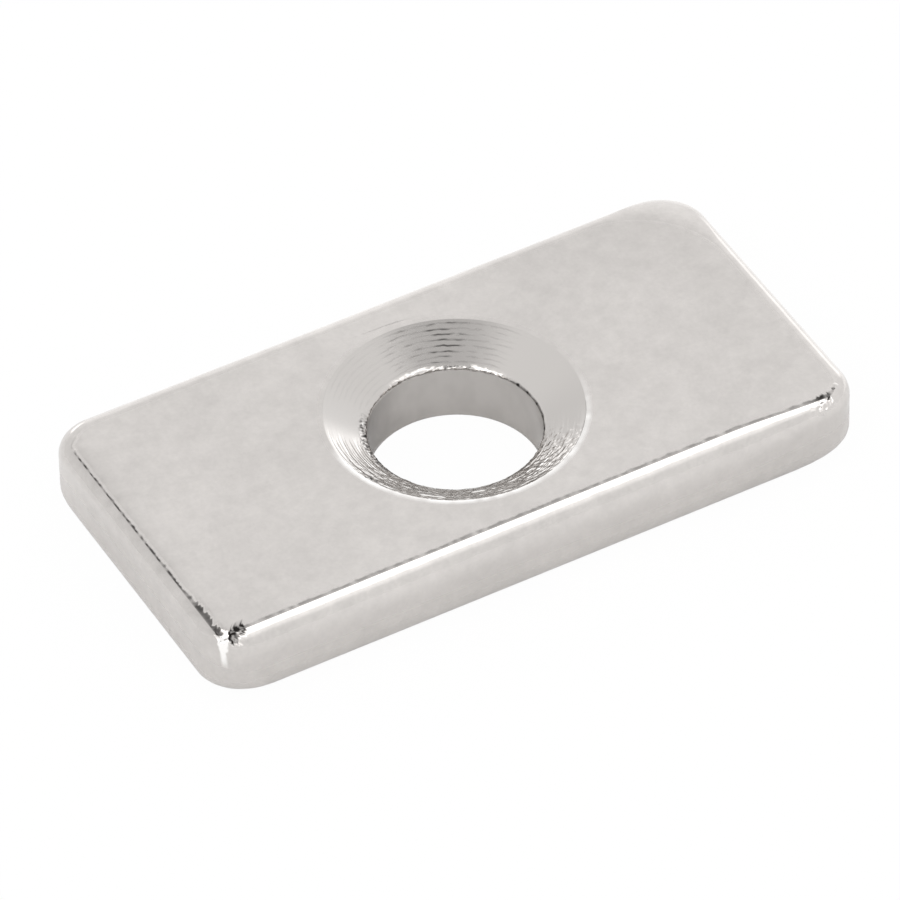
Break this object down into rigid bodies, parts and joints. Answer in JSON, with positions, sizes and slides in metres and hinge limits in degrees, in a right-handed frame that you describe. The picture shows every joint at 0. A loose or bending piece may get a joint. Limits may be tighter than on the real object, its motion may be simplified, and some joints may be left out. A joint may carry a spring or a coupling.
{
  "type": "countersunk block magnet",
  "caption": "Flat rectangular block magnet with rounded corners, tumbled edges and a countersunk screw hole through its middle.",
  "frame": {"origin": "middle of the flat bottom face, on the screw hole's axis", "axes": "+X along the length, +Y across the width, +Z along the hole's axis, out of the countersunk top face"},
  "size_m": [0.02, 0.01, 0.0025],
  "materials": {
    "nickel_plating": "satin nickel plating over a tumbled sintered magnet"
  },
  "bodies": {
    "root": {"block_magnet": "nickel_plating"}
  },
  "joints": []
}
